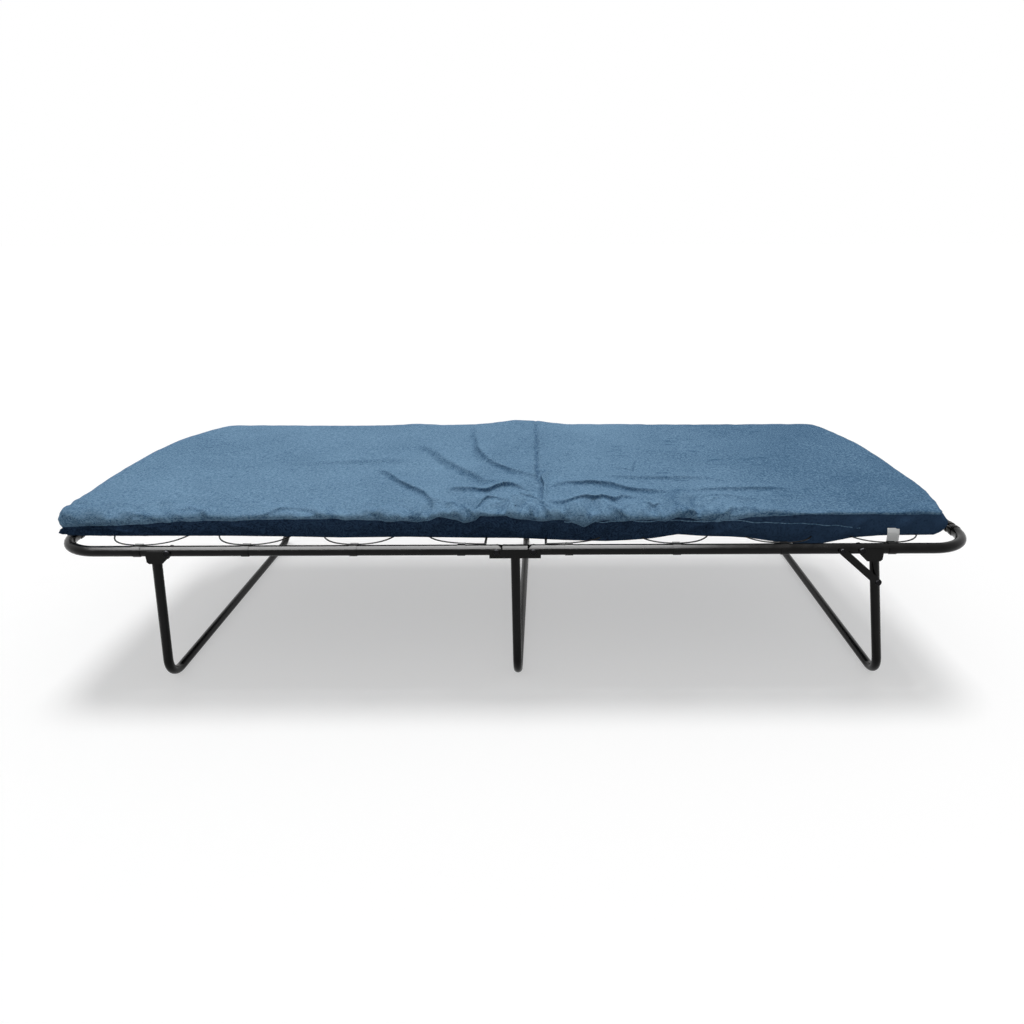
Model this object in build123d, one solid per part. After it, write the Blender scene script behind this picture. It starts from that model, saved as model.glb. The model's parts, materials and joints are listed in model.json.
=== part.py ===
from build123d import *
import math
import os

os.makedirs("parts", exist_ok=True)

# Folding guest bed: two tube half-frames hinged over a middle leg, two folding
# end legs, a wire net in each half and a soft mattress folded over the middle.
# Millimetres. +X runs along the bed, +Y away from the near side, +Z up.
# The origin is on the floor under the middle of the bed.

# Whole bed
bed_length = 1900.0
bed_width = 800.0
rail_height = 312.0
overrun = 5.0

# Tubes are drawn with this many flats, and hollow this far in from their ends
tube_sides = 16
bore_depth = 40.0

# Rail tube of the half-frames
rail_r = 11.0
rail_wall = 1.2
corner_bend_share = 0.11

# Leg tube
leg_r = 9.5
leg_wall = 1.2
foot_bend_r = 50.0
leg_before_clip = 63.0
leg_offset = 27.5
left_splay_deg = 5.0
right_splay_deg = 10.0

# Sheet parts and running gaps
sheet = 2.0
side_gap = 0.3
stop_gap = 0.4

# Rivets
rivet_sides = 12
rivet_r = 4.0
rivet_fit = 0.05
head_r = 7.0
head_h = 2.4
head_chamfer = 1.2
head_gap = 0.2

# Middle hinge
hinge_x = 37.0
hinge_half_length = 52.0
hinge_top = 5.5
hinge_corner = 4.0
spacer_gap = 0.7

# Leg bracket, measured from its pivot
boss_r = 7.8
bracket_out = 43.0
bracket_top = 4.0
bracket_drop = 23.0
web_start = 14.0
gusset_in = 6.0
gusset_foot = 12.0
bracket_corner = 4.0

# Stay between rail and right leg, measured from the leg's pivot
stay_inboard = 41.0
stay_width = 15.0
stay_reach_x = 40.6
stay_reach_z = 70.0
stay_rivet_r = 3.0
stay_head_r = 6.0
stay_head_h = 1.8
stay_chamfer = 0.8
collar_r = 4.5
collar_h = 1.0
stud_r = 5.5
stud_root_share = 0.7

# Wire net
wire_r = 1.5
wire_sides = 4
wire_rows = 8
net_rise = 9.5
net_end_run = 67.0
outer_flat = 113.0
inner_flat = 30.0
wave_count = 4
wire_gap = 0.3
end_wire_r = 2.5
end_wire_x = 62.0
end_wire_inset = 0.3
link_length = 14.0
link_wall = 1.2
clip_length = 16.0
clip_wall = 1.2
clip_fit = 0.1
clip_open_deg = 70.0
clip_sides = 8
hook_length = 10.0
end_turn = 15.0

# Mattress
mattress_left_inset = 5.0
mattress_right_inset = 52.0
mattress_side_inset = 45.0
edge_height = 52.0
crown_height = 66.0
fold_crown_height = 64.0
end_crown_height = 50.0
end_edge_height = 40.0
end_draw = 42.0
end_run = 80.0
foot_inset = 9.0
shoulder_inset = 10.0
fold_gap = 0.3
net_gap = 0.3
cover_wall = 3.0
foam_gap = 0.3
side_peak_share = 0.45
crown_run_share = 0.5
end_run_shares = (1.0, 0.3, 0.0)
end_draw_shares = (0.0, 0.4, 1.0)

# Care label
label_from_end = 128.0
label_width = 25.0
label_height = 40.0
label_thickness = 0.6
label_gap = 0.3
label_top_share = 0.5

# Places that follow from the sizes above
rail_y = bed_width / 2 - rail_r
end_x = bed_length / 2 - rail_r
corner_bend_r = bed_width * corner_bend_share
wave_pitch = (end_x - net_end_run) / wave_count
leg_pivot_x = wave_count * wave_pitch - wave_pitch / 2 - leg_before_clip
mattress_left = bed_length / 2 - mattress_left_inset
mattress_right = bed_length / 2 - mattress_right_inset
mattress_width = bed_width - 2 * mattress_side_inset
label_x = mattress_right - label_from_end
cheek_in = rail_r + side_gap
cheek_out = cheek_in + sheet
web_top = -rail_r - stop_gap
web_bottom = web_top - sheet
stay_in = cheek_out + side_gap
stay_out = stay_in + sheet
net_z = rail_height + net_rise
net_edge_y = rail_y - math.sqrt((rail_r + wire_r + wire_gap) ** 2 - net_rise ** 2)
row_gap = 2 * wire_r + wire_gap
row_pitch = (2 * net_edge_y + row_gap) / wire_rows
mattress_base = net_z + wire_r + clip_fit + max(link_wall, clip_wall) + net_gap
end_hook_x = end_x - (rail_y - net_edge_y)


def y_pin(radius, length):
    """Round bar along Y, centred on the origin."""
    return Rot(90, 0, 0) * Cylinder(radius, length)


def turned(sections):
    """Stepped round piece along Y: (radius at start, radius at end, start y, end y) for each step."""
    piece = None
    for r_start, r_end, y_start, y_end in sections:
        start = Plane(origin=(0, y_start, 0), z_dir=(0, 1, 0)) * RegularPolygon(r_start, rivet_sides)
        end = Plane(origin=(0, y_end, 0), z_dir=(0, 1, 0)) * RegularPolygon(r_end, rivet_sides)
        step = loft([start, end], ruled=True)
        piece = step if piece is None else piece + step
    return piece


def bent_tube(points, bend_r, radius, wall):
    """Round tube through the points, bent to one radius and bored a short way at its open ends."""
    path = FilletPolyline(*points, radius=bend_r)
    start = Plane(origin=path @ 0, z_dir=path % 0)
    tube = sweep(start * RegularPolygon(radius, tube_sides), path=path)
    for end, inward in ((path @ 0, path % 0), (path @ 1, -(path % 1))):
        bore = Plane(origin=end, x_dir=start.x_dir, z_dir=inward) * RegularPolygon(radius - wall, tube_sides)
        tube -= extrude(bore, amount=bore_depth)
    return tube


def both_sides(near):
    """A near-side piece and its mirror image on the far side."""
    return [near, mirror(near, about=Plane.XZ)]


def on_side(piece, side):
    """A piece made for the right half, mirrored when it belongs to the left."""
    return piece if side > 0 else mirror(piece, about=Plane.YZ)


def node(name, pieces):
    """Write one named node; several pieces stay separate solids."""
    solids = []
    for piece in pieces:
        solids.extend(piece.solids())
    export_step(Compound(children=solids) if len(solids) > 1 else solids[0], f"parts/{name}.step")


def through_rivet(half_grip):
    """Rivet along Y through two cheeks, with a chamfered head at each end."""
    seat = half_grip + head_gap
    top = seat + head_h
    rim = head_r - head_chamfer
    return turned([(rim, head_r, -top, -seat), (rivet_r, rivet_r, -seat, seat), (head_r, rim, seat, top)])


def frame_tube():
    """Right half-frame: one tube bent into a U, its two ends rounded at the hinge."""
    start_x = hinge_x - rail_r
    points = [(start_x, -rail_y, 0), (end_x, -rail_y, 0), (end_x, rail_y, 0), (start_x, rail_y, 0)]
    tube = bent_tube(points, corner_bend_r, rail_r, rail_wall)
    reach = 2 * (rail_r + overrun)
    corner = Pos(hinge_x - reach / 2, 0, 0) * Box(reach, bed_width + reach, reach)
    corner -= Pos(hinge_x, 0, 0) * y_pin(rail_r, bed_width + 2 * reach)
    tube -= corner
    bore = y_pin(rivet_r + rivet_fit, bed_width + reach)
    for x in (hinge_x, leg_pivot_x):
        tube -= Pos(x, 0, 0) * bore
    return Pos(0, 0, rail_height) * tube


def hinge_channel():
    """Near channel of the middle hinge: two cheeks astride the rails, joined below."""
    height = hinge_top - web_bottom
    outer = Box(2 * hinge_half_length, 2 * cheek_out, height)
    slot = Pos(0, 0, sheet) * Box(2 * (hinge_half_length + overrun), 2 * cheek_in, height)
    channel = Pos(0, 0, (hinge_top + web_bottom) / 2) * (outer - slot)
    top_corners = channel.edges().filter_by(Axis.Y).group_by(Axis.Z)[-1]
    channel = chamfer(top_corners, hinge_corner)
    for x in (-hinge_x, hinge_x):
        channel -= Pos(x, 0, 0) * y_pin(rivet_r + rivet_fit, 2 * (cheek_out + overrun))
    return Pos(0, -rail_y, rail_height) * channel


def hinge_spacer():
    """Short tube that fills the channel between the two rail ends."""
    length = 2 * (hinge_x - rail_r - spacer_gap)
    ring = RegularPolygon(rail_r, tube_sides) - RegularPolygon(rail_r - rail_wall, tube_sides)
    tube = extrude(Plane.YZ * ring, amount=length / 2, both=True)
    return Pos(0, -rail_y, rail_height) * tube


def hinge_rivets():
    """The four hinge pins, two on each side of the bed."""
    pins = []
    for x in (-hinge_x, hinge_x):
        pins += both_sides(Pos(x, -rail_y, rail_height) * through_rivet(cheek_out))
    return pins


def centre_leg():
    """Middle U-leg, upright, cut square under the hinge channels."""
    top = rail_height + web_bottom
    points = [(0, -rail_y, top), (0, -rail_y, leg_r), (0, rail_y, leg_r), (0, rail_y, top)]
    return bent_tube(points, foot_bend_r, leg_r, leg_wall)


def leg_point(splay_deg, down):
    """Place on a right leg's axis, so far down from its pivot."""
    out = math.sin(math.radians(splay_deg))
    fall = math.cos(math.radians(splay_deg))
    x = leg_pivot_x + leg_offset * fall + down * out
    z = rail_height + leg_offset * out - down * fall
    return x, z


def end_leg(splay_deg):
    """End U-leg of the right half, leaning out, cut level under its bracket's web."""
    out = math.sin(math.radians(splay_deg))
    fall = math.cos(math.radians(splay_deg))
    foot = (rail_height + leg_offset * out - leg_r) / fall
    top_x, top_z = leg_point(splay_deg, 0)
    foot_x, foot_z = leg_point(splay_deg, foot)
    points = [(top_x, -rail_y, top_z), (foot_x, -rail_y, foot_z), (foot_x, rail_y, foot_z), (top_x, rail_y, top_z)]
    tube = bent_tube(points, foot_bend_r, leg_r, leg_wall)
    above = 4 * leg_r
    cut_z = rail_height + web_bottom
    return tube - Pos(top_x, 0, cut_z + above / 2) * Box(2 * above, bed_width + above, above)


def leg_bracket():
    """Near bracket of the right leg: cheeks astride the rail and a web that stops under it."""
    outline = Polyline((0, bracket_top), (bracket_out, bracket_top), (bracket_out, -bracket_drop),
                       (gusset_foot, -bracket_drop), (-gusset_in, -gusset_in), close=True)
    face = make_face(outline)
    outer_corners = face.vertices().group_by(Axis.X)[-1]
    face = chamfer(outer_corners, bracket_corner)
    face += Circle(boss_r)
    face -= Circle(rivet_r + rivet_fit)
    cheek = extrude(Plane.XZ * face, amount=sheet / 2, both=True)
    cheek_y = (cheek_in + cheek_out) / 2
    web_length = bracket_out - web_start
    web = Pos(web_start + web_length / 2, 0, (web_top + web_bottom) / 2) * Box(web_length, 2 * cheek_out, sheet)
    bracket = web + Pos(0, cheek_y, 0) * cheek + Pos(0, -cheek_y, 0) * cheek
    return Pos(leg_pivot_x, -rail_y, rail_height) * bracket


def leg_rivets():
    """The right leg's two pivot rivets."""
    return both_sides(Pos(leg_pivot_x, -rail_y, rail_height) * through_rivet(cheek_out))


def stay():
    """Near stay: flat strip with round ends and a hole at each end."""
    angle = -math.degrees(math.atan2(stay_reach_z, stay_inboard + stay_reach_x))
    length = math.hypot(stay_reach_z, stay_inboard + stay_reach_x)
    face = SlotCenterToCenter(length, stay_width)
    for x in (-length / 2, length / 2):
        face -= Pos(x, 0) * Circle(stay_rivet_r + rivet_fit)
    strip = Pos(length / 2, 0, 0) * extrude(face, amount=sheet / 2, both=True)
    strip = Rot(0, -angle, 0) * (Rot(90, 0, 0) * strip)
    return Pos(leg_pivot_x - stay_inboard, -rail_y - (stay_in + stay_out) / 2, rail_height) * strip


def stay_pivot():
    """Near shouldered rivet that carries the stay on the rail."""
    seat = stay_in - head_gap
    under = stay_out + head_gap
    top = under + stay_head_h
    rim = stay_head_r - stay_chamfer
    stud = turned([(rim, stay_head_r, -top, -under), (stay_rivet_r, stay_rivet_r, -under, -seat),
                   (stud_r, stud_r, -seat, -rail_r * stud_root_share)])
    stud -= Rot(0, 90, 0) * Cylinder(rail_r, 2 * (stud_r + overrun))
    return Pos(leg_pivot_x - stay_inboard, -rail_y, rail_height) * stud


def stay_hook():
    """Near rivet at the leg end of the stay, with a collar behind the strip."""
    top = stay_out + stay_head_h
    rim = stay_head_r - stay_chamfer
    back = stay_in - collar_h
    hook = turned([(rim, stay_head_r, -top, -stay_out), (stay_rivet_r, stay_rivet_r, -stay_out, -stay_in),
                   (collar_r, collar_r, -stay_in, -back)])
    return Pos(leg_pivot_x + stay_reach_x, -rail_y, rail_height - stay_reach_z) * hook


def leg_stud():
    """Near boss on the right leg, just short of the stay's rivet."""
    length = stay_in - collar_h - side_gap
    boss = Pos(0, -length / 2, 0) * y_pin(stud_r, length)
    boss = Pos(leg_pivot_x + stay_reach_x, -rail_y, rail_height - stay_reach_z) * boss
    top_x, top_z = leg_point(right_splay_deg, 0)
    foot_x, foot_z = leg_point(right_splay_deg, rail_height)
    core_path = Line((top_x, -rail_y, top_z), (foot_x, -rail_y, foot_z))
    core = sweep(Plane(origin=core_path @ 0, z_dir=core_path % 0) * Circle(leg_r), path=core_path)
    return boss - core


def net_wire(row):
    """One wave wire of the right half, from the end wire at the fold to the end bar."""
    low = -net_edge_y + row * row_pitch
    high = low + row_pitch - row_gap
    outside, inside = (low, high) if row % 2 == 0 else (high, low)
    slope = (wave_pitch - outer_flat - inner_flat) / 2
    points = [(end_wire_x - end_wire_r, outside)]
    for wave in range(wave_count):
        flat_end = wave * wave_pitch + (wave_pitch + outer_flat) / 2
        points.append((flat_end, outside))
        points.append((flat_end + slope, inside))
        if wave < wave_count - 1:
            points.append((flat_end + slope + inner_flat, inside))
            points.append((flat_end + 2 * slope + inner_flat, outside))
    turn = end_turn if outside > inside else -end_turn
    points.append((end_hook_x, inside))
    points.append((end_hook_x, inside + turn))
    path = Polyline(*[(x, y, net_z) for x, y in points])
    start = Plane(origin=path @ 0, x_dir=(0, 1, 0), z_dir=path % 0)
    return sweep(start * RegularPolygon(wire_r, wire_sides), path=path, transition=Transition.RIGHT)


def net_end_wire():
    """Straight wire across the right half beside the fold, under the wave wires' ends."""
    z = net_rise - wire_r - end_wire_r
    half = rail_y - math.sqrt(rail_r ** 2 - (z - end_wire_r) ** 2) - end_wire_inset
    return Pos(end_wire_x, 0, rail_height + z) * y_pin(end_wire_r, 2 * half)


def net_links():
    """Pressed bands that tie each wave wire to the next one."""
    band = Rectangle(row_gap + 2 * (wire_r + clip_fit + link_wall), 2 * (wire_r + clip_fit + link_wall))
    band -= Rectangle(row_gap + 2 * (wire_r + clip_fit), 2 * (wire_r + clip_fit))
    link = extrude(Plane.YZ * band, amount=link_length / 2, both=True)
    links = []
    for row in range(1, wire_rows):
        y = -net_edge_y + row * row_pitch - row_gap / 2
        for wave in range(wave_count):
            shift = wave_pitch / 2 if row % 2 == 0 else wave_pitch
            links.append(Pos(wave * wave_pitch + shift, y, net_z) * link)
    return links


def c_clip(length, wire_y, wire_z, wire_radius):
    """Clip along X round a tube at the origin, with a curl round a wire beside it."""
    inner = rail_r + clip_fit
    outer = inner + clip_wall
    curl_in = wire_radius + clip_fit
    curl_out = curl_in + clip_wall
    turn = 180 / clip_sides
    flat_inner = inner / math.cos(math.radians(turn))
    ring = RegularPolygon(outer / math.cos(math.radians(turn)), clip_sides, rotation=turn)
    mouth = math.radians(clip_open_deg / 2)
    reach = 2 * outer
    wedge = Polyline((0, 0), (-reach * math.sin(mouth), -reach * math.cos(mouth)),
                     (reach * math.sin(mouth), -reach * math.cos(mouth)), close=True)
    ring -= make_face(wedge)
    curl = Pos(wire_y, wire_z) * RegularPolygon(curl_out, clip_sides)
    profile = ring + curl
    profile -= RegularPolygon(flat_inner, clip_sides, rotation=turn)
    profile -= Pos(wire_y, wire_z) * RegularPolygon(curl_in, clip_sides)
    return extrude(Plane.YZ * profile, amount=length / 2, both=True)


def rail_clips():
    """Clips that hold the outermost wave wires to the two rails."""
    clip = c_clip(clip_length, rail_y - net_edge_y, net_rise, wire_r)
    clips = []
    for wave in range(wave_count):
        x = wave * wave_pitch + wave_pitch / 2
        clips += both_sides(Pos(x, -rail_y, rail_height) * clip)
    return clips


def end_hooks():
    """Hooks that hold the wave wires' ends to the end bar."""
    hook = Rot(0, 0, 90) * c_clip(hook_length, end_x - end_hook_x, net_rise, wire_r)
    hooks = []
    for row in range(wire_rows):
        low = -net_edge_y + row * row_pitch
        high = low + row_pitch - row_gap
        middle = (end_turn + wire_r) / 2
        y = high - middle if row % 2 == 0 else low + middle
        hooks.append(Pos(end_x, y, rail_height) * hook)
    return hooks


def mattress_section(x, half_width, edge, crown, inset):
    """Upright outline of the mattress at x: flat base, bulged sides and a crowned top."""
    base = mattress_base + inset
    wide = half_width - inset
    foot = wide - foot_inset
    shoulder = wide - shoulder_inset
    edge_z = mattress_base + edge - inset
    top_z = mattress_base + crown - inset
    peak_z = base + (edge_z - base) * side_peak_share
    bottom = Line((x, -foot, base), (x, foot, base))
    far_side = ThreePointArc((x, foot, base), (x, wide, peak_z), (x, shoulder, edge_z))
    top = ThreePointArc((x, shoulder, edge_z), (x, 0, top_z), (x, -shoulder, edge_z))
    near_side = ThreePointArc((x, -shoulder, edge_z), (x, -wide, peak_z), (x, -foot, base))
    return Face(Wire([bottom, far_side, top, near_side]))


def mattress_form(length, inset, start):
    """Crowned right half of the mattress, from start at the fold to its drawn-in end."""
    half = mattress_width / 2
    reach = length - inset
    sections = [mattress_section(start, half, edge_height, fold_crown_height, inset)]
    sections.append(mattress_section(length * crown_run_share, half, edge_height, crown_height, inset))
    for run, draw in zip(end_run_shares, end_draw_shares):
        x = reach - end_run * run
        narrow = half - end_draw * draw
        edge = edge_height - (edge_height - end_edge_height) * draw
        crown = crown_height - (crown_height - end_crown_height) * draw
        sections.append(mattress_section(x, narrow, edge, crown, inset))
    return loft(sections, ruled=True)


def mattress_cover(length):
    """Fabric cover of a half, open at the fold where it runs on to the other half."""
    outer = mattress_form(length, 0, fold_gap / 2)
    inner = mattress_form(length, cover_wall, -overrun)
    return outer - inner


def mattress_foam(length):
    """Foam core of a half."""
    return mattress_form(length, cover_wall + foam_gap, fold_gap / 2)


def care_label():
    """Bare white label that hangs from the near edge of the mattress."""
    y = -mattress_width / 2 - label_gap - label_thickness / 2
    top = mattress_base + edge_height * label_top_share
    return Pos(label_x, y, top - label_height / 2) * Box(label_width, label_thickness, label_height)


node("centre_leg", [centre_leg()])
near_channel, far_channel = both_sides(hinge_channel())
node("hinge_channel_near", [near_channel])
node("hinge_channel_far", [far_channel])
near_spacer, far_spacer = both_sides(hinge_spacer())
node("hinge_spacer_near", [near_spacer])
node("hinge_spacer_far", [far_spacer])
node("hinge_rivets", hinge_rivets())

tube = frame_tube()
wires = [net_wire(row) for row in range(wire_rows)]
end_wire = net_end_wire()
links = net_links()
clips = rail_clips()
hooks = end_hooks()
near_bracket, far_bracket = both_sides(leg_bracket())
pivots = leg_rivets()

for name, side, splay, length in (("left", -1, left_splay_deg, mattress_left),
                                  ("right", 1, right_splay_deg, mattress_right)):
    node(f"{name}_frame_tube", [on_side(tube, side)])
    node(f"{name}_net_wires", [on_side(wire, side) for wire in wires])
    node(f"{name}_net_end_wire", [on_side(end_wire, side)])
    node(f"{name}_net_links", [on_side(link, side) for link in links])
    node(f"{name}_rail_clips", [on_side(clip, side) for clip in clips])
    node(f"{name}_end_hooks", [on_side(hook, side) for hook in hooks])
    node(f"{name}_leg", [on_side(end_leg(splay), side)])
    node(f"{name}_leg_bracket_near", [on_side(near_bracket, side)])
    node(f"{name}_leg_bracket_far", [on_side(far_bracket, side)])
    node(f"{name}_leg_rivets", [on_side(pivot, side) for pivot in pivots])
    node(f"{name}_mattress_cover", [on_side(mattress_cover(length), side)])
    node(f"{name}_mattress_foam", [on_side(mattress_foam(length), side)])

stays = both_sides(stay())
stay_pivots = both_sides(stay_pivot())
stay_hooks = both_sides(stay_hook())
for name, strip, pivot, hook in zip(("near", "far"), stays, stay_pivots, stay_hooks):
    node(f"right_stay_{name}", [strip])
    node(f"right_stay_pivot_{name}", [pivot])
    node(f"right_stay_rivet_{name}", [hook])
node("right_leg_studs", both_sides(leg_stud()))
node("care_label", [care_label()])
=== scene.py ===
# %% [markdown]
# # Folding guest bed
# The bed is a steel tube frame in two halves, hinged over a middle leg, with a
# wire net in each half and a soft mattress on top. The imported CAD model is
# loaded first and stays fixed: every new piece is placed from its numbers.

# %% Load the frame
import json
import math
import bmesh
import bpy
import numpy as np
from mathutils import Matrix, Vector


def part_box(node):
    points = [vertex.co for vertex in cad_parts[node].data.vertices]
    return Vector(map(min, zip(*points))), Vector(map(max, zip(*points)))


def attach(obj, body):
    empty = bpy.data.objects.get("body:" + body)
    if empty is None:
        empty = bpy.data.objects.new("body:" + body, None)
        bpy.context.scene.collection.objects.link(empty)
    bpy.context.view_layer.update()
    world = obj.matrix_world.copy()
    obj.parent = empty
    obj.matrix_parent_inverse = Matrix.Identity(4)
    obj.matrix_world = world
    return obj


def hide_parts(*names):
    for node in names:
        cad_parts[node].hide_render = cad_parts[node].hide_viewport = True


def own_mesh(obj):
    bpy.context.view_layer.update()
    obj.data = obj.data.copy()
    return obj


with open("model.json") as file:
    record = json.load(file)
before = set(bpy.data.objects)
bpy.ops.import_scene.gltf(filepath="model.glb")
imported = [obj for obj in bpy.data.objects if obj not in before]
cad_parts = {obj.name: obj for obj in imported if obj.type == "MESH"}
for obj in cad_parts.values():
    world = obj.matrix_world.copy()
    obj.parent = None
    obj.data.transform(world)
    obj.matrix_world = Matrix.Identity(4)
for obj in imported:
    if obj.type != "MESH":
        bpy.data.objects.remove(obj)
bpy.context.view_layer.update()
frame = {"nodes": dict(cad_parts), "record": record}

# %% [markdown]
# ## Camera
# A pinhole camera was fitted to the rail, the floor bars and the mattress in the
# photograph. Its optical axis is a little right of the picture's middle, which a
# small shift gives.

# %% Camera
PHOTO_SIZE = 1024
FOCAL_PIXELS = 730.4
AXIS_PIXEL_X = 548.7
SENSOR_WIDTH = 36.0
CAMERA_PLACE = (0.064, -1.745, 0.911)
CAMERA_TURN = (90 - 20.89, 0.14, -0.22)


def add_object(name, data):
    """Puts a mesh, curve, lamp or camera into the scene as an object."""
    made = bpy.data.objects.new(name, data)
    bpy.context.scene.collection.objects.link(made)
    return made


camera_data = bpy.data.cameras.new("photo_camera")
camera_data.sensor_width = SENSOR_WIDTH
camera_data.lens = SENSOR_WIDTH * FOCAL_PIXELS / PHOTO_SIZE
camera_data.shift_x = (PHOTO_SIZE / 2 - AXIS_PIXEL_X) / PHOTO_SIZE
camera = add_object("photo_camera", camera_data)
camera.location = CAMERA_PLACE
camera.rotation_euler = [math.radians(angle) for angle in CAMERA_TURN]
bpy.context.scene.camera = camera
print("lens:", round(camera_data.lens, 2), "mm")

# %% [markdown]
# ## Helpers
# Materials are node trees. One helper adds a node with its settings and links,
# one turns the hex colours that a paint chart gives into linear light, and one
# sets the two colours between which a pattern moves.

# %% Helpers for materials
def linear(hex_colour):
    """An sRGB hex colour as linear red, green, blue and alpha."""
    values = [int(hex_colour[i:i + 2], 16) / 255 for i in (1, 3, 5)]
    return [v / 12.92 if v <= 0.04045 else ((v + 0.055) / 1.055) ** 2.4 for v in values] + [1.0]


def add_node(material, kind, settings=None, inputs=None):
    """Adds one node, with its settings, and links or fills its inputs."""
    step = material.node_tree.nodes.new(kind)
    for name, value in (settings or {}).items():
        setattr(step, name, value)
    for name, value in (inputs or {}).items():
        if isinstance(value, bpy.types.NodeSocket):
            material.node_tree.links.new(value, step.inputs[name])
        else:
            step.inputs[name].default_value = value
    return step


def new_material(name):
    """A material with an empty node tree."""
    material = bpy.data.materials.new(name)
    material.use_nodes = True
    material.node_tree.nodes.clear()
    return material


def finish_surface(material, shader):
    """Joins a shader to the material's output."""
    add_node(material, "ShaderNodeOutputMaterial", None, {"Surface": shader})


def two_tones(ramp, dark, light, low=0.0, high=1.0):
    """Sets a colour ramp's dark and light end, and the level of each."""
    for element, level, colour in zip(ramp.color_ramp.elements, (low, high), (dark, light)):
        element.position = level
        element.color = linear(colour)


print("white in linear light:", linear("#ffffff"))

# %% [markdown]
# ## Floor and light
# The photograph has a white ground that keeps a grey shadow under the bed. The
# floor is part light source and part matt paint for the camera, so that its lit
# part is white and its shade is grey, and plain pale paint for everything else.
#
# One broad softbox above and a little behind lights everything. A wide panel
# overhead, a little to the front, is there for the gloss alone: it draws the bright
# line along the rails that the photograph has, and adds no light to cloth or floor.

# %% Floor and light
FLOOR_REACH = 60.0
FLOOR_GLOW = 0.45
SEEN_PAINT = 0.58
PLAIN_PAINT = 0.5
AMBIENT = 0.40
TOP_LIGHT = 0.60
TOP_SPREAD = 20
TOP_TILT = -18
GLOSS_LIGHT = 1500.0
GLOSS_PANEL = (3.8, 4.4)
GLOSS_PLACE = (-0.9, -1.05, 3.2)
GLOSS_TILT = 13


def seen_rays(owner):
    """1 for what the camera sees, also in a mirror or through glass, and 0 for other light."""
    rays = add_node(owner, "ShaderNodeLightPath")
    camera_or_glossy = add_node(owner, "ShaderNodeMath", {"operation": "MAXIMUM"},
                                {0: rays.outputs["Is Camera Ray"], 1: rays.outputs["Is Glossy Ray"]})
    seen = add_node(owner, "ShaderNodeMath", {"operation": "MAXIMUM"},
                    {0: camera_or_glossy.outputs[0], 1: rays.outputs["Is Transmission Ray"]})
    return seen.outputs[0]


floor_mesh = bpy.data.meshes.new("floor")
floor_shape = bmesh.new()
bmesh.ops.create_grid(floor_shape, x_segments=1, y_segments=1, size=FLOOR_REACH)
floor_shape.to_mesh(floor_mesh)
floor_shape.free()
floor = add_object("floor", floor_mesh)

paper = new_material("white_studio_paper")
paper_seen = seen_rays(paper)
glow = add_node(paper, "ShaderNodeEmission", None, {"Color": (1, 1, 1, 1), "Strength": FLOOR_GLOW})
seen_paint = add_node(paper, "ShaderNodeBsdfDiffuse", None, {"Color": (*[SEEN_PAINT] * 3, 1)})
plain_paint = add_node(paper, "ShaderNodeBsdfDiffuse", None, {"Color": (*[PLAIN_PAINT] * 3, 1)})
seen_floor = add_node(paper, "ShaderNodeAddShader", None, {0: glow.outputs[0], 1: seen_paint.outputs[0]})
paper_mix = add_node(paper, "ShaderNodeMixShader", None,
                     {0: paper_seen, 1: plain_paint.outputs[0], 2: seen_floor.outputs[0]})
finish_surface(paper, paper_mix.outputs[0])
floor_mesh.materials.append(paper)

world = bpy.data.worlds.new("studio")
world.use_nodes = True
world.node_tree.nodes.clear()
sky_level = add_node(world, "ShaderNodeMapRange", None,
                     {"Value": seen_rays(world), "To Min": AMBIENT, "To Max": 1.0})
sky = add_node(world, "ShaderNodeBackground", None, {"Color": (1, 1, 1, 1), "Strength": sky_level.outputs[0]})
add_node(world, "ShaderNodeOutputWorld", None, {"Surface": sky.outputs[0]})
bpy.context.scene.world = world

lamp_data = bpy.data.lights.new("softbox", "SUN")
lamp_data.energy = TOP_LIGHT * math.pi
lamp_data.angle = math.radians(TOP_SPREAD)
lamp = add_object("softbox", lamp_data)
lamp.rotation_euler = (math.radians(TOP_TILT), 0, 0)

gloss_data = bpy.data.lights.new("gloss_light", "AREA")
gloss_data.shape = "RECTANGLE"
gloss_data.size, gloss_data.size_y = GLOSS_PANEL
gloss_data.energy = GLOSS_LIGHT
gloss_lamp = add_object("gloss_light", gloss_data)
gloss_lamp.location = GLOSS_PLACE
gloss_lamp.rotation_euler = (math.radians(GLOSS_TILT), 0, 0)
gloss_lamp.visible_diffuse = False
gloss_lamp.visible_camera = False
bpy.context.scene.view_settings.view_transform = "Standard"
print("lamps:", lamp.name, gloss_lamp.name)

# %% [markdown]
# ## Powder coat
# The rails, legs, brackets and stays are steel under black powder coat, which is
# baked on as dust and melts to a gloss film with a faint orange peel. That breaks
# each highlight into soft ripples about two millimetres across.

# %% Powder coat
def speckled(material, scale, detail, *tones):
    """A noise fixed to the piece, and a tone between two colours that follows it."""
    place = add_node(material, "ShaderNodeTexCoord").outputs["Object"]
    noise = add_node(material, "ShaderNodeTexNoise", None,
                     {"Vector": place, "Scale": scale, "Detail": detail})
    tone = add_node(material, "ShaderNodeValToRGB", None, {"Fac": noise.outputs["Fac"]})
    two_tones(tone, *tones)
    return place, noise.outputs["Fac"], tone.outputs["Color"]


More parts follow.
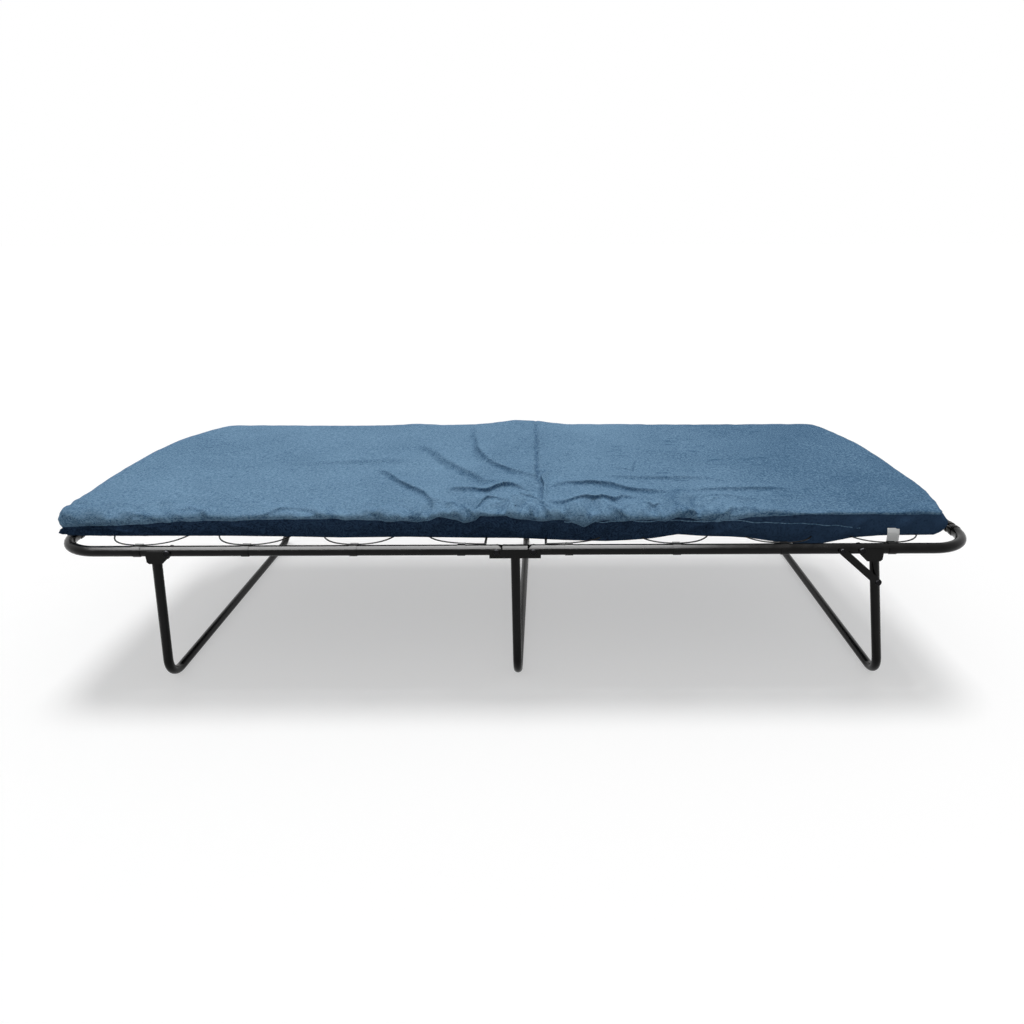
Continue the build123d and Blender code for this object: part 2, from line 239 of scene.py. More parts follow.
powder_coat = new_material("black_powder_coat")
coat_place, dust, dust_tone = speckled(powder_coat, 38.0, 4.0, "#060606", "#0e0e0e", 0.35, 0.75)
rubbed = add_node(powder_coat, "ShaderNodeMapRange", None,
                  {"Value": dust, "From Min": 0.3, "From Max": 0.7, "To Min": 0.17, "To Max": 0.27})
peel = add_node(powder_coat, "ShaderNodeTexNoise", None,
                {"Vector": coat_place, "Scale": 520.0, "Detail": 2.0})
peel_bump = add_node(powder_coat, "ShaderNodeBump", None,
                     {"Strength": 0.12, "Distance": 0.0006, "Height": peel.outputs["Fac"]})
coat = add_node(powder_coat, "ShaderNodeBsdfPrincipled", None,
                {"Base Color": dust_tone, "Roughness": rubbed.outputs["Result"],
                 "Normal": peel_bump.outputs["Normal"], "IOR": 1.5, "Specular IOR Level": 0.13})
finish_surface(powder_coat, coat.outputs[0])
print("powder coat:", len(powder_coat.node_tree.nodes), "nodes")

# %% [markdown]
# ## Wire and rivets
# The net is hard-drawn spring wire with a thin dark lacquer, and so are the bands
# that link it. The rivets are steel under a blackened zinc plate, dulled by handling.

# %% Wire and rivets
wire_lacquer = new_material("lacquered_spring_wire")
scuff_tone = speckled(wire_lacquer, 90.0, 3.0, "#161617", "#2c2c2c", 0.4, 0.8)[2]
wire_shader = add_node(wire_lacquer, "ShaderNodeBsdfPrincipled", None,
                       {"Base Color": scuff_tone, "Roughness": 0.35, "IOR": 1.5, "Specular IOR Level": 0.10})
finish_surface(wire_lacquer, wire_shader.outputs[0])

rivet_plate = new_material("dulled_plated_steel")
_, tarnish, tarnish_tone = speckled(rivet_plate, 160.0, 4.0, "#0d0d0e", "#202022")
tarnish_rough = add_node(rivet_plate, "ShaderNodeMapRange", None,
                         {"Value": tarnish, "To Min": 0.28, "To Max": 0.5})
rivet_shader = add_node(rivet_plate, "ShaderNodeBsdfPrincipled", None,
                        {"Base Color": tarnish_tone, "Metallic": 1.0,
                         "Roughness": tarnish_rough.outputs["Result"]})
finish_surface(rivet_plate, rivet_shader.outputs[0])

FINISHES = {"black_enamel": powder_coat, "net_wire": wire_lacquer, "rivet_steel": rivet_plate}
slots = {part["node"]: part["material_slot"] for part in frame["record"]["subparts"]}
for name, cad_object in frame["nodes"].items():
    finish = FINISHES.get(slots[name])
    if finish:
        cad_object.data.materials.clear()
        cad_object.data.materials.append(finish)
print("finished CAD nodes:", sum(1 for n in slots if slots[n] in FINISHES))

# %% [markdown]
# ## Tubes
# Each half-frame is one steel tube bent to a U on a draw bender, and so is each leg.
# The CAD tubes have sixteen flats, which a gloss coat would show, so round ones take
# their place along the same lines. A circle is drawn out along each straight and spun
# round each bend, and the ends are turned in as bores, because the tube is hollow.

# %% Tubes
RAIL_HEIGHT = 0.312
RAIL_SIDE = 0.389
RAIL_END = 0.939
RAIL_RADIUS = 0.011
RAIL_BEND = 0.088
HINGE_X = 0.037
LEG_TOP = 0.2986
LEG_RADIUS = 0.0095
LEG_BEND = 0.050
LEG_PIVOT = 0.700
LEG_OFFSET = 0.0275
TUBE_WALL = 0.0012
BORE_DEPTH = 0.040
TUBE_SIDES = 32
BEND_STEPS = 14
SHARP_EDGE = 40
SIDES = (("left", -1), ("right", 1))


def new_parts(made, kind):
    """The vertices, edges or faces that an operator made last."""
    return [part for part in made if isinstance(part, kind)]


def bent_tube(corners, bend, radius):
    """A hollow-ended round tube through the corners, as a bmesh."""
    corners = [Vector(corner) for corner in corners]
    tube = bmesh.new()
    first = (corners[1] - corners[0]).normalized()
    upright = Matrix.Translation(corners[0]) @ first.to_track_quat("Z", "Y").to_matrix().to_4x4()
    bmesh.ops.create_circle(tube, segments=TUBE_SIDES, radius=radius, matrix=upright)
    start_edges = edges = tube.edges[:]
    here = corners[0]
    for before, corner, after in zip(corners, corners[1:], corners[2:]):
        heading, onward = (corner - before).normalized(), (after - corner).normalized()
        angle = heading.angle(onward)
        setback = heading * bend * math.tan(angle / 2)
        drawn = bmesh.ops.extrude_edge_only(tube, edges=edges)["geom"]
        bmesh.ops.translate(tube, verts=new_parts(drawn, bmesh.types.BMVert), vec=corner - setback - here)
        axis = heading.cross(onward).normalized()
        middle = corner - setback + axis.cross(heading) * bend
        turned = bmesh.ops.spin(tube, geom=new_parts(drawn, (bmesh.types.BMVert, bmesh.types.BMEdge)),
                                angle=angle, axis=axis, cent=middle, steps=BEND_STEPS)
        edges = new_parts(turned["geom_last"], bmesh.types.BMEdge)
        here = corner + onward * bend * math.tan(angle / 2)
    drawn = bmesh.ops.extrude_edge_only(tube, edges=edges)["geom"]
    bmesh.ops.translate(tube, verts=new_parts(drawn, bmesh.types.BMVert), vec=corners[-1] - here)
    return tube, start_edges, new_parts(drawn, bmesh.types.BMEdge)


def bore_end(tube, edges, centre, inward, radius):
    """Turns a tube's open end in to a bore, and closes the bore at its depth."""
    lip = bmesh.ops.extrude_edge_only(tube, edges=edges)["geom"]
    share = (radius - TUBE_WALL) / radius
    for vert in new_parts(lip, bmesh.types.BMVert):
        from_axis = vert.co - centre
        along = inward * from_axis.dot(inward)
        vert.co = centre + along + (from_axis - along) * share
    wall = bmesh.ops.extrude_edge_only(tube, edges=new_parts(lip, bmesh.types.BMEdge))["geom"]
    bmesh.ops.translate(tube, verts=new_parts(wall, bmesh.types.BMVert), vec=inward * BORE_DEPTH)
    bmesh.ops.edgeloop_fill(tube, edges=new_parts(wall, bmesh.types.BMEdge))


def shade_round(mesh):
    """Shades every face of a mesh as part of a round surface."""
    mesh.polygons.foreach_set("use_smooth", [True] * len(mesh.polygons))


def hand_over(steel, name, body, node):
    """Makes a finished bmesh a powder coated piece that stands for a CAD node."""
    bmesh.ops.recalc_face_normals(steel, faces=steel.faces[:])
    mesh = bpy.data.meshes.new(name)
    steel.to_mesh(mesh)
    steel.free()
    shade_round(mesh)
    mesh.set_sharp_from_angle(angle=math.radians(SHARP_EDGE))
    mesh.materials.append(powder_coat)
    piece = add_object(name, mesh)
    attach(piece, body)
    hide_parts(node)


for side_name, side in SIDES:
    start_x = side * (HINGE_X - RAIL_RADIUS)
    corners = [(start_x, -RAIL_SIDE, RAIL_HEIGHT), (side * RAIL_END, -RAIL_SIDE, RAIL_HEIGHT),
               (side * RAIL_END, RAIL_SIDE, RAIL_HEIGHT), (start_x, RAIL_SIDE, RAIL_HEIGHT)]
    rail, near_end, far_end = bent_tube(corners, RAIL_BEND, RAIL_RADIUS)
    # The ends are rounded about the hinge pins, so that they can turn
    for edges in (near_end, far_end):
        for vert in {vert for edge in edges for vert in edge.verts}:
            beside = min(abs(vert.co.z - RAIL_HEIGHT), RAIL_RADIUS)
            vert.co.x = side * (HINGE_X - math.sqrt(RAIL_RADIUS ** 2 - beside ** 2))
    for edges, corner in ((near_end, corners[0]), (far_end, corners[-1])):
        bore_end(rail, edges, Vector(corner), Vector((side, 0, 0)), RAIL_RADIUS)
    hand_over(rail, f"{side_name}_rail_tube", f"{side_name}_half", f"{side_name}_frame_tube")

LEGS = [("middle", "centre", "centre_leg", 0, 0), ("left", "left_end_leg", "left_leg", -1, 5),
        ("right", "right_end_leg", "right_leg", 1, 10)]
for leg_name, body, node, side, splay in LEGS:
    out, fall = math.sin(math.radians(splay)), math.cos(math.radians(splay))
    if side:
        foot = (RAIL_HEIGHT + LEG_OFFSET * out - LEG_RADIUS) / fall
        top_x, top_z = side * (LEG_PIVOT + LEG_OFFSET * fall), RAIL_HEIGHT + LEG_OFFSET * out
        foot_x = top_x + side * foot * out
    else:
        top_x, top_z, foot_x = 0, LEG_TOP, 0
    corners = [(top_x, -RAIL_SIDE, top_z), (foot_x, -RAIL_SIDE, LEG_RADIUS),
               (foot_x, RAIL_SIDE, LEG_RADIUS), (top_x, RAIL_SIDE, top_z)]
    leg, near_end, far_end = bent_tube(corners, LEG_BEND, LEG_RADIUS)
    # Both ends are cut level, just under the brackets
    for edges in (near_end, far_end):
        for vert in {vert for edge in edges for vert in edge.verts}:
            vert.co.x += side * (vert.co.z - LEG_TOP) * out / fall
            vert.co.z = LEG_TOP
    for edges in (near_end, far_end):
        centre = sum((edge.verts[0].co for edge in edges), Vector()) / len(edges)
        bore_end(leg, edges, centre, Vector((side * out, 0, -fall)), LEG_RADIUS)
    hand_over(leg, f"{leg_name}_leg_tube", body, node)
print("tubes: 2 rails and", len(LEGS), "legs")

# %% [markdown]
# ## Clips
# A clip is a strip of spring steel under the same powder coat, rolled four fifths
# round the rail and curled round the wire beside it. The same clip holds the wires'
# ends to the end bars. Both rolls are a strip's section spun about its own axis.

# %% Clips
STRIP = 0.0012
CLIP_FIT = 0.0001
WIRE_RADIUS = 0.0015
NET_HEIGHT = 0.3215
NET_EDGE = 0.3804
WAVES = 4
WAVE_PITCH = 0.218
ROWS_OF_WIRE = 8
ROW_GAP = 0.0033
ROW_PITCH = (2 * NET_EDGE + ROW_GAP) / ROWS_OF_WIRE
RAIL_CLIP_LENGTH = 0.016
BAR_CLIP_LENGTH = 0.010
# How far along a wire's turned end its clip sits
CLIP_ON_TURN = 0.00825
# Where a roll starts, from straight up, and how far round it goes, in degrees
RAIL_ROLL = (-145, 290)
WIRE_ROLL = (-140, 300)
ROLL_STEP = 0.2


def roll_strip(clip, length, radius, centre, roll):
    """Rolls a strip of that length about an axis along X."""
    start, sweep = (math.radians(angle) for angle in roll)
    section = bmesh.ops.create_grid(clip, x_segments=1, y_segments=1, size=0.5)["verts"]
    for vert in section:
        vert.co = (vert.co.x * length, 0, radius + (vert.co.y + 0.5) * STRIP)
    bmesh.ops.rotate(clip, verts=section, cent=(0, 0, 0), matrix=Matrix.Rotation(start, 3, "X"))
    bmesh.ops.translate(clip, verts=section, vec=centre)
    faces = list({face for vert in section for face in vert.link_faces})
    edges = list({edge for vert in section for edge in vert.link_edges})
    bmesh.ops.spin(clip, geom=section + edges + faces, axis=(1, 0, 0), cent=centre, angle=sweep,
                   steps=int(sweep / ROLL_STEP))


def spring_clip(length):
    """A clip round a bar along X at the origin, and round a wire above it on its +Y side."""
    clip = bmesh.new()
    wire_place = (0, RAIL_SIDE - NET_EDGE, NET_HEIGHT - RAIL_HEIGHT)
    roll_strip(clip, length, RAIL_RADIUS + CLIP_FIT, (0, 0, 0), RAIL_ROLL)
    roll_strip(clip, length, WIRE_RADIUS + CLIP_FIT, wire_place, WIRE_ROLL)
    return clip


def place_clips(name, body, node, length, places):
    """Joins a clip at each place, turned about Z, into one piece."""
    joined = bmesh.new()
    for place, turn, mirrored in places:
        clip = spring_clip(length)
        if mirrored:
            bmesh.ops.scale(clip, verts=clip.verts[:], vec=(1, -1, 1))
        bmesh.ops.rotate(clip, verts=clip.verts[:], cent=(0, 0, 0), matrix=Matrix.Rotation(turn, 3, "Z"))
        bmesh.ops.translate(clip, verts=clip.verts[:], vec=place)
        part = bpy.data.meshes.new("clip")
        clip.to_mesh(part)
        clip.free()
        joined.from_mesh(part)
        bpy.data.meshes.remove(part)
    hand_over(joined, name, body, node)
    print(name, len(places), "clips")


for side_name, side in SIDES:
    rail_places = []
    for wave in range(WAVES):
        clip_x = side * (WAVE_PITCH / 2 + WAVE_PITCH * wave)
        rail_places += [((clip_x, y_side * RAIL_SIDE, RAIL_HEIGHT), 0, y_side > 0) for y_side in (-1, 1)]
    place_clips(f"{side_name}_spring_clips", f"{side_name}_half", f"{side_name}_rail_clips",
                RAIL_CLIP_LENGTH, rail_places)
    bar_places = []
    for row_number in range(ROWS_OF_WIRE):
        low = -NET_EDGE + row_number * ROW_PITCH
        wire_end = low + ROW_PITCH - ROW_GAP - CLIP_ON_TURN if row_number % 2 == 0 else low + CLIP_ON_TURN
        bar_places.append(((side * RAIL_END, wire_end, RAIL_HEIGHT), side * math.pi / 2, False))
    place_clips(f"{side_name}_bar_clips", f"{side_name}_half", f"{side_name}_end_hooks",
                BAR_CLIP_LENGTH, bar_places)

# %% [markdown]
# ## Mattress
# The real mattress is a sheet of foam in a loose cover: a lighter woven top sewn to
# a dark navy border, all round, about a third of the way down its side. It lies
# over both halves and the fold. The form starts as a fine grid, is raised level by
# level into a closed slab, and each row of the slab is then placed: the border
# bulges between its seams, the top turns over a soft shoulder, and the slack cover
# lies in folds that run to the middle of the near edge.
#
# Heights along the near edge are read from the photograph: the seam dips where the
# top fabric hangs over, and the border sags between the net's wires.

# %% Mattress sizes
MATTRESS_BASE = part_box("right_mattress_cover")[0].z
# Half the width over the bulging border, and between the two long seams
COVER_HALF = 0.355
MATTRESS_HALF = 0.350
MATTRESS_TOP = 0.0515
FAR_RISE = 0.0135
GRID_ALONG = 484
GRID_ACROSS = 186
BORDER_ROWS = 10
# Ends of the mattress at places across it, near side first
LEFT_END = ([-0.355, -0.285, -0.15, -0.075, 0.008, 0.098, 0.196, 0.26, 0.32, 0.355],
            [-0.936, -0.942, -0.945, -0.945, -0.941, -0.933, -0.926, -0.912, -0.896, -0.880])
RIGHT_END = ([-0.355, -0.305, -0.241, -0.172, -0.097, 0.0, 0.074, 0.172, 0.28, 0.355],
             [0.876, 0.888, 0.895, 0.896, 0.892, 0.889, 0.883, 0.877, 0.868, 0.856])
# Seam above the base along the near edge, and how far the border's bottom sags
NEAR_SEAM = ([-0.926, -0.895, -0.834, -0.766, -0.697, -0.643, -0.589, -0.549, -0.494, -0.440, -0.393, -0.360,
              -0.319, -0.279, -0.255, -0.232, -0.202, -0.178, -0.160, -0.147, -0.127, -0.107, -0.080, -0.073,
              -0.039, -0.019, -0.009, 0.015, 0.035, 0.062, 0.096, 0.113, 0.140, 0.160, 0.189, 0.253,
              0.308, 0.328, 0.358, 0.379, 0.396, 0.416, 0.443, 0.463, 0.506, 0.570, 0.620, 0.900],
             [0.0242, 0.0269, 0.0267, 0.0308, 0.0356, 0.0369, 0.0366, 0.0387, 0.0399, 0.0404, 0.0409, 0.0394,
              0.0377, 0.0365, 0.0359, 0.0340, 0.0310, 0.0374, 0.0460, 0.0450, 0.0372, 0.0317, 0.0370, 0.0440,
              0.0457, 0.0465, 0.0422, 0.0385, 0.0347, 0.0346, 0.0345, 0.0319, 0.0226, 0.0306, 0.0340, 0.0335,
              0.0336, 0.0389, 0.0406, 0.0333, 0.0314, 0.0295, 0.0348, 0.0384, 0.0418, 0.0450, 0.0460, 0.0450])
NEAR_SAG = ([-0.94, -0.84, -0.70, -0.595, -0.473, -0.364, -0.228, -0.092, 0.004, 0.104, 0.186, 0.234,
             0.282, 0.336, 0.391, 0.445, 0.487, 0.528, 0.584, 0.632, 0.666, 0.699, 0.760, 0.882],
            [0.004, 0.002, 0.0017, 0.0013, -0.0007, -0.0034, -0.0024, -0.005, -0.006, -0.0112, -0.0138,
             -0.0117, -0.008, 0.001, -0.003, -0.0045, -0.0076, -0.0144, -0.0206, -0.0223, -0.015, -0.0077,
             -0.003, -0.002])
# The columns and rows of the grid stand closer where the cover is creased
COLUMNS = ([-242, -232, -138, 0, 173, 232, 242], [-1.0, -0.968, -0.383, 0.0, 0.506, 0.966, 1.0])
ROWS = ([0, 115, 178, 186], [-1.0, -0.143, 0.929, 1.0])


def ripple(x, y, wavelength, seed):
    """A smooth seeded wave pattern of about that wavelength, from -1 to 1 or so."""
    dice = np.random.default_rng(seed)
    total = 0
    for _ in range(6):
        heading = dice.uniform(0, math.pi)
        pace = 2 * math.pi / (wavelength * dice.uniform(0.65, 1.7))
        along = x * math.cos(heading) + y * math.sin(heading)
        beside = y * math.cos(heading) - x * math.sin(heading)
        phase = dice.uniform(0, 6.3)
        bend = np.sin(0.6 * pace * beside + dice.uniform(0, 6.3))
        total = total + np.sin(pace * along + phase + bend)
    return total / 3.4


def step_up(value, low, high):
    """0 below low, 1 above high, and a smooth rise between."""
    share = np.clip((value - low) / (high - low), 0, 1)
    return share * share * (3 - 2 * share)


print("mattress base:", round(MATTRESS_BASE, 4), "m up,", len(NEAR_SEAM[0]), "seam heights")

# %% [markdown]
# The slab is raised from its grid with extrusions, one for each row of the border,
# so the top, the border and the bottom are one closed skin.

# %% Raise the slab
def read_rows(mesh, kind="co"):
    """Each point's place, or its normal, as a row of three numbers."""
    rows = np.empty(len(mesh.vertices) * 3)
    mesh.vertices.foreach_get(kind, rows)
    return rows.reshape(-1, 3)


slab = bmesh.new()
bmesh.ops.create_grid(slab, x_segments=GRID_ALONG, y_segments=GRID_ACROSS, size=0.5)
raised = bmesh.ops.extrude_face_region(slab, geom=slab.faces[:])
bmesh.ops.translate(slab, verts=new_parts(raised["geom"], bmesh.types.BMVert), vec=(0, 0, 1))
for face in slab.faces:
    face.material_index = 1
for face in new_parts(raised["geom"], bmesh.types.BMFace):
    face.material_index = 0
uprights = [edge for edge in slab.edges if abs(edge.verts[0].co.z - edge.verts[1].co.z) > 0.5]
bmesh.ops.subdivide_edges(slab, edges=uprights, cuts=BORDER_ROWS - 1, use_grid_fill=True)
bmesh.ops.recalc_face_normals(slab, faces=slab.faces[:])
mattress_mesh = bpy.data.meshes.new("mattress")
slab.to_mesh(mattress_mesh)
slab.free()
places = read_rows(mattress_mesh)
print("mattress slab:", len(places), "vertices")

# %% [markdown]
# The cover is cut a little larger than the foam, and that slack is what puckers
# along the seams. A cloth simulation of the top alone gives those folds: the sheet
# is held along its seam, made a few percent too large, and lifted by a slight
# pressure. What it adds to the mattress is the height of its folds, with the broad
# lift taken out and the rest capped.

# %% Simulate the slack top
SHEET_ALONG = 220
SHEET_ACROSS = 84
SHEET_LENGTH = 1.84
SHEET_WIDTH = 0.71
# The sheet starts as a low pillow, a little rough, so that it has a way to fold
PILLOW_HEIGHT = 0.03
PILLOW_EDGE = 0.02
ROUGHNESS = 0.0006
SLACK = 0.05
CLOTH_FRAMES = 24
BROAD_REACH = 9
FOLD_CAP = 0.009
CLOTH = {"quality": 4, "mass": 0.15, "tension_stiffness": 15, "compression_stiffness": 15,
         "shear_stiffness": 5, "bending_stiffness": 3, "use_pressure": True,
         "uniform_pressure_force": 0.5, "shrink_min": -SLACK, "vertex_group_mass": "seam"}


def smooth_along(heights, reach):
    """Heights averaged along their second axis with a bell of that reach, in cells."""
    offsets = np.arange(-3 * reach, 3 * reach + 1)
    bell = np.exp(-0.5 * (offsets / reach) ** 2)
    padded = np.pad(heights, ((0, 0), (3 * reach, 3 * reach)), mode="edge")
    return np.array([np.convolve(row, bell / bell.sum(), mode="valid") for row in padded])


def slack_folds():
    """Folds of the slack top as a grid of heights, near row first."""
    sheet = bmesh.new()
    bmesh.ops.create_grid(sheet, x_segments=SHEET_ALONG, y_segments=SHEET_ACROSS, size=0.5)
    mesh = bpy.data.meshes.new("slack_top")
    sheet.to_mesh(mesh)
    sheet.free()
    spots = read_rows(mesh)
    order = np.lexsort((spots[:, 0].round(6), spots[:, 1].round(6)))
    spots[:, 0] *= SHEET_LENGTH
    spots[:, 1] *= SHEET_WIDTH
    edge_gap = np.minimum(SHEET_LENGTH / 2 - np.abs(spots[:, 0]), SHEET_WIDTH / 2 - np.abs(spots[:, 1]))
    dice = np.random.default_rng(5)
    spots[:, 2] = PILLOW_HEIGHT * (1 - np.exp(-edge_gap / PILLOW_EDGE))
    spots[:, 2] += dice.uniform(-ROUGHNESS, ROUGHNESS, len(spots)) * (edge_gap > 1e-5)
    mesh.vertices.foreach_set("co", spots.ravel())
    top = add_object("slack_top", mesh)
    held = top.vertex_groups.new(name="seam")
    held.add([int(i) for i in np.where(edge_gap < 1e-5)[0]], 1.0, "ADD")
    cloth = top.modifiers.new("slack", "CLOTH")
    for name, value in CLOTH.items():
        setattr(cloth.settings, name, value)
    cloth.settings.effector_weights.gravity = 0.0
    cloth.collision_settings.use_collision = False
    for frame_number in range(1, CLOTH_FRAMES + 1):
        bpy.context.scene.frame_set(frame_number)
    moved = top.evaluated_get(bpy.context.evaluated_depsgraph_get()).to_mesh()
    lifted = read_rows(moved)[order, 2].reshape(SHEET_ACROSS + 1, SHEET_ALONG + 1)
    bpy.context.scene.frame_set(1)
    bpy.data.objects.remove(top)
    bpy.data.meshes.remove(mesh)
    creases = lifted - smooth_along(lifted, BROAD_REACH)
    return np.clip(creases, -FOLD_CAP, FOLD_CAP)


folds = slack_folds()
print("slack folds from", folds.min().round(4), "to", folds.max().round(4))


def sample_folds(across, along):
    """The folds' height at places across and along the grid, both from 0 to 1."""
    row = np.clip(across * SHEET_ACROSS, 0, SHEET_ACROSS - 1e-6)
    column = np.clip(along * SHEET_ALONG, 0, SHEET_ALONG - 1e-6)
    r, c = row.astype(int), column.astype(int)
    fr, fc = row - r, column - c
    near_row = folds[r, c] * (1 - fc) + folds[r, c + 1] * fc
    far_row = folds[r + 1, c] * (1 - fc) + folds[r + 1, c + 1] * fc
    return near_row * (1 - fr) + far_row * fr


# %% [markdown]
# Each point is then placed from where it was in the grid. The shoulder is a quarter
# round from the seam up to the top, and the corners are round in plan.

# %% Place the slab
# The round of a corner in plan at the near edge, and how much larger it is at the far one
NEAR_CORNER = 0.007
CORNER_GROWTH = 0.035
FAR_SEAM = 0.034
# The shoulder's radius along the sides, and how much smaller it is at the ends
SHOULDER = 0.014
END_TIGHTER = 0.007
PUSH_FADE = 0.05
BOTTOM_FADE = 0.024

column, row, level = places[:, 0] * GRID_ALONG, (places[:, 1] + 0.5) * GRID_ACROSS, places[:, 2]
grid_x, grid_y = np.interp(column.round(), *COLUMNS) / 2, np.interp(row.round(), *ROWS)
on_top = level > 0.999
on_bottom = level < 0.001
end_left = np.interp(grid_y * COVER_HALF, *LEFT_END)
end_right = np.interp(grid_y * COVER_HALF, *RIGHT_END)
x = np.where(grid_x < 0, -2 * grid_x * end_left, 2 * grid_x * end_right)
from_end = np.minimum(x - end_left, end_right - x)
corner = NEAR_CORNER + CORNER_GROWTH * step_up(grid_y, -0.4, 0.8)
corner_share = np.clip(1 - from_end / corner, 0, 1)
half_width = MATTRESS_HALF - corner * (1 - np.sqrt(np.maximum(1 - corner_share ** 2, 0)))
y = grid_y * half_width
# The ends are slanted, so each point's end is found again at its own place across
across = np.clip(y / (MATTRESS_HALF - corner), -1, 1) * COVER_HALF
end_left, end_right = np.interp(across, *LEFT_END), np.interp(across, *RIGHT_END)
x = np.where(grid_x < 0, -2 * grid_x * end_left, 2 * grid_x * end_right)
from_end = np.minimum(x - end_left, end_right - x)
from_side = half_width - np.abs(y)
# Distance from the rim, and the way out of it, which turns with the round corners
inward = (np.maximum(from_end, 1e-7) ** -5.0 + np.maximum(from_side, 1e-7) ** -5.0) ** -0.2
end_share = from_side ** 2 / np.maximum(from_side ** 2 + from_end ** 2, 1e-12)
end_share = np.where(from_end < 1e-7, 1, end_share)
out_x = end_share + (1 - end_share) * corner_share
out_y = (1 - end_share) * np.sqrt(1 - corner_share ** 2)
out_size = np.hypot(out_x, out_y)
out_x, out_y = np.sign(grid_x) * out_x / out_size, np.sign(grid_y) * out_y / out_size

near = step_up(-grid_y, 0.2, 0.9)
seam = near * np.interp(x, *NEAR_SEAM) + (1 - near) * FAR_SEAM
sag = step_up(-grid_y, 0.9, 1.0) * np.interp(x, *NEAR_SAG)
crown = MATTRESS_TOP + FAR_RISE * step_up(grid_y, -1.0, 0.4)
crown += 0.0015 * ripple(x, y, 0.5, 3)
# The cover stands up in a hump where it folds, most at the far edge
hump = np.exp(-((x + 0.01) / 0.085) ** 2) * (0.003 + 0.012 * step_up(grid_y, 0.1, 1.0))
end_rise = np.exp(-(from_end / 0.12) ** 2)
crown += 0.007 * end_rise * step_up(grid_y, -1.0, -0.6) * (1 - step_up(grid_y, 0.1, 0.9))
crown += hump + 0.004 * np.exp(-((x + 0.31) / 0.05) ** 2) * step_up(grid_y, 0.3, 1.0)

lift = crown - seam
shoulder = np.minimum(SHOULDER - END_TIGHTER * end_share, lift)
wall = np.maximum(lift - shoulder, 0)
turn = np.clip((inward - wall) / shoulder, 0, math.pi / 2)
past_turn = np.maximum(inward - wall - shoulder * math.pi / 2, 0)
flat_push = shoulder * (math.pi / 2 - 1) * np.exp(-past_turn / PUSH_FADE)
wall_fade = np.exp(-np.maximum(inward - wall, 0) / PUSH_FADE)
push = np.where(turn < math.pi / 2, np.maximum(inward - wall, 0) - shoulder * (1 - np.cos(turn)), flat_push)
push += np.minimum(inward, wall) * wall_fade
height = np.where(inward < wall, seam + inward, seam + wall + shoulder * np.sin(turn))

end_bulge = np.where(grid_x < 0, 0.001, 0.018)
tucked = 0.006 + np.where(grid_x < 0, 0.008, 0.0) * end_share * step_up(-grid_y, 0.3, 0.9)
border_bulge = (0.005 + end_bulge * end_share) * np.sin(math.pi * level ** 0.8) - tucked * (1 - level) ** 2
overhang = 0.0035 + 0.0045 * np.exp(-(x / 0.35) ** 2) * (1 - end_share)
overhang = overhang * np.sin(math.pi * np.clip(inward / (wall + shoulder * 1.9), 0, 1)) ** 0.8
out = np.where(on_top, push + overhang, border_bulge)
bottom_in = np.exp(-inward / BOTTOM_FADE)
out = np.where(on_bottom, -tucked * bottom_in, out)
rise = np.where(on_top, height, sag + (seam - sag) * level)
rise = np.where(on_bottom, sag * bottom_in, rise)
print("crown from", crown.min().round(4), "to", crown.max().round(4), "m above the base")

# %% [markdown]
# The slack cover puckers along its seams. Each pucker is a short fold that starts
# at the seam and dies away within a few centimetres, and the photograph has many
# between a third and two thirds of the way along the near edge.

# %% Puckers at the seam
PUCKER = 0.0024
BORDER_FOLD = 0.0080
SEAM_WAVE = 0.0016

slack = np.interp(x, [-0.95, -0.88, -0.75, -0.60, -0.45, -0.25, 0.00, 0.20, 0.40, 0.55, 0.70, 0.88],
                  [0.8, 1.0, 0.9, 0.45, 0.55, 1.1, 1.3, 1.3, 1.1, 0.5, 0.35, 0.5])
lean = np.interp(x, [-0.95, -0.6, -0.3, 0.0, 0.3, 0.9], [1.6, 1.2, 0.5, -0.3, -0.8, -0.6])
near_edge = step_up(-grid_y, 0.5, 0.85)
pucker_x = x + lean * inward + 0.01 * ripple(x, y, 0.16, 11)
pucker = ripple(pucker_x, y * 0.15, 0.046, 21)
pucker = np.sign(pucker) * np.abs(pucker) ** 0.7
fade = np.exp(-((inward - 0.010) / 0.030) ** 2)
pucker_height = PUCKER * slack * near_edge * pucker * fade
cloth_height = sample_folds(grid_y / 2 + 0.5, grid_x + 0.5)
middle = np.exp(-((x + 0.02) / 0.30) ** 2)
edge_gain = 1.5 * slack * near_edge * np.exp(-(inward / 0.09) ** 2)
inner_gain = 0.12 + 0.38 * middle * step_up(-grid_y, -0.9, 0.3)
calm_end = 1 - 0.7 * np.exp(-(from_end / 0.03) ** 2)
fold_total = (cloth_height * np.maximum(edge_gain, inner_gain) + pucker_height) * calm_end
tilt = np.where(inward < wall, 0, turn)
out = out + np.where(on_top, fold_total * np.cos(tilt), 0)
rise = rise + np.where(on_top, fold_total * np.sin(tilt), 0)
# Folds of the border lean the same way and run from seam to seam
border_fold = ripple(x + 1.2 * (level - 0.5) * 0.05 * lean, level * 0.04, 0.085, 31)
border_fold += 0.5 * ripple(x, level * 0.03, 0.032, 33)
from_seams = np.sin(math.pi * np.clip(level, 0, 1)) ** 0.6
border_height = BORDER_FOLD * (0.5 + 0.5 * slack) * border_fold * from_seams
out = out + np.where(on_top | on_bottom, 0, border_height)
# The seam itself wanders a little
seam_wave = SEAM_WAVE * slack * near_edge * ripple(x, y * 0, 0.07, 41)
rise = rise + np.where(on_top, seam_wave * np.exp(-inward / 0.03), seam_wave * level)
print("border folds up to", np.abs(border_height).max().round(4), "m")
